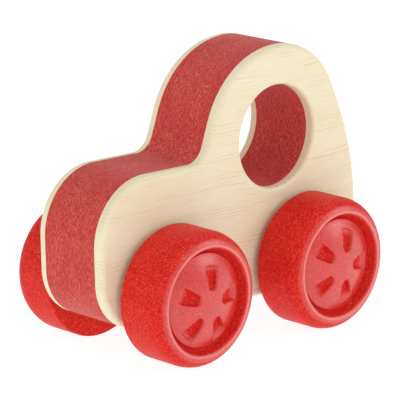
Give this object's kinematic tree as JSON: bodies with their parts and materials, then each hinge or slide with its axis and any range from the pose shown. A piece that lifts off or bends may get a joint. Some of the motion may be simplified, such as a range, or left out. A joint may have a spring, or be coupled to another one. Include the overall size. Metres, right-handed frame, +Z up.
{
  "type": "pull-back toy car",
  "caption": "Chunky wooden toy car with a layered body, a round grip hole through the cab, dished wheels on steel axles and a pull-back spring motor.",
  "frame": {"origin": "on the ground under the car, midway along the body's length and on its mid-plane", "axes": "+X towards the front (bonnet), +Y towards the car's left side, +Z up"},
  "size_m": [0.1274, 0.076, 0.1024],
  "materials": {
    "stained_core": "red-stained fibrous wood, matte",
    "pale_wood": "sanded pale wood with a thin clear coat",
    "wheel_composite": "red moulded wood-fibre composite with orange specks, satin",
    "steel": "plain bright steel",
    "spring_steel": "blued spring steel",
    "white_plastic": "natural moulded plastic",
    "grey_plastic": "moulded plastic, fine texture",
    "brass": "turned brass"
  },
  "bodies": {
    "root": {"body_core": "stained_core", "side_panel_left": "pale_wood", "side_panel_right": "pale_wood", "motor_cover_plate": "grey_plastic", "cover_screw_1": "steel", "cover_screw_2": "steel", "cover_screw_3": "steel", "cover_screw_4": "steel", "front_bush_left": "white_plastic", "front_bush_right": "white_plastic", "rear_bush_left": "white_plastic", "rear_bush_right": "white_plastic", "motor_case_left": "grey_plastic", "motor_case_right": "grey_plastic", "case_screw_1": "steel", "case_screw_2": "steel", "case_screw_3": "steel", "case_screw_4": "steel", "mainspring": "spring_steel"},
    "front_axle_set": {"front_axle": "steel", "front_wheel_left": "wheel_composite", "front_wheel_right": "wheel_composite", "front_washer_left": "white_plastic", "front_washer_right": "white_plastic"},
    "rear_axle_set": {"rear_axle": "steel", "rear_wheel_left": "wheel_composite", "rear_wheel_right": "wheel_composite", "rear_washer_left": "white_plastic", "rear_washer_right": "white_plastic", "axle_pinion": "brass"},
    "idler": {"idler_gear": "white_plastic"},
    "spring_drum": {"spring_gear": "white_plastic"},
    "clutch_carrier": {"clutch_pin": "steel"},
    "clutch": {"clutch_gear": "white_plastic"}
  },
  "joints": [
    {"name": "front_axle_spin", "type": "hinge", "parent": "root", "child": "front_axle_set", "pos_m": [0.03325, 0, 0.024], "axis": [0, 1, 0], "continuous": true},
    {"name": "rear_axle_spin", "type": "hinge", "parent": "root", "child": "rear_axle_set", "pos_m": [-0.03325, 0, 0.024], "axis": [0, 1, 0], "continuous": true},
    {"name": "idler_spin", "type": "hinge", "parent": "root", "child": "idler", "pos_m": [-0.02783, 0, 0.03119], "axis": [0, 1, 0], "continuous": true},
    {"name": "spring_wind", "type": "hinge", "parent": "root", "child": "spring_drum", "pos_m": [-0.01369, 0, 0.02872], "axis": [0, 1, 0], "range_deg": [0, 540], "stiffness_Nm_per_rad": 0.001, "deforming": ["mainspring"]},
    {"name": "clutch_slide", "type": "slide", "parent": "root", "child": "clutch_carrier", "axis": [0.4695, 0, 0.8829], "range_m": [0, 0.0016]},
    {"name": "clutch_spin", "type": "hinge", "parent": "clutch_carrier", "child": "clutch", "pos_m": [-0.02684, 0, 0.02279], "axis": [0, 1, 0], "continuous": true}
  ],
  "couplings": [
    {"joint": "idler_spin", "follows": "rear_axle_spin", "ratio": -0.66667}
  ]
}
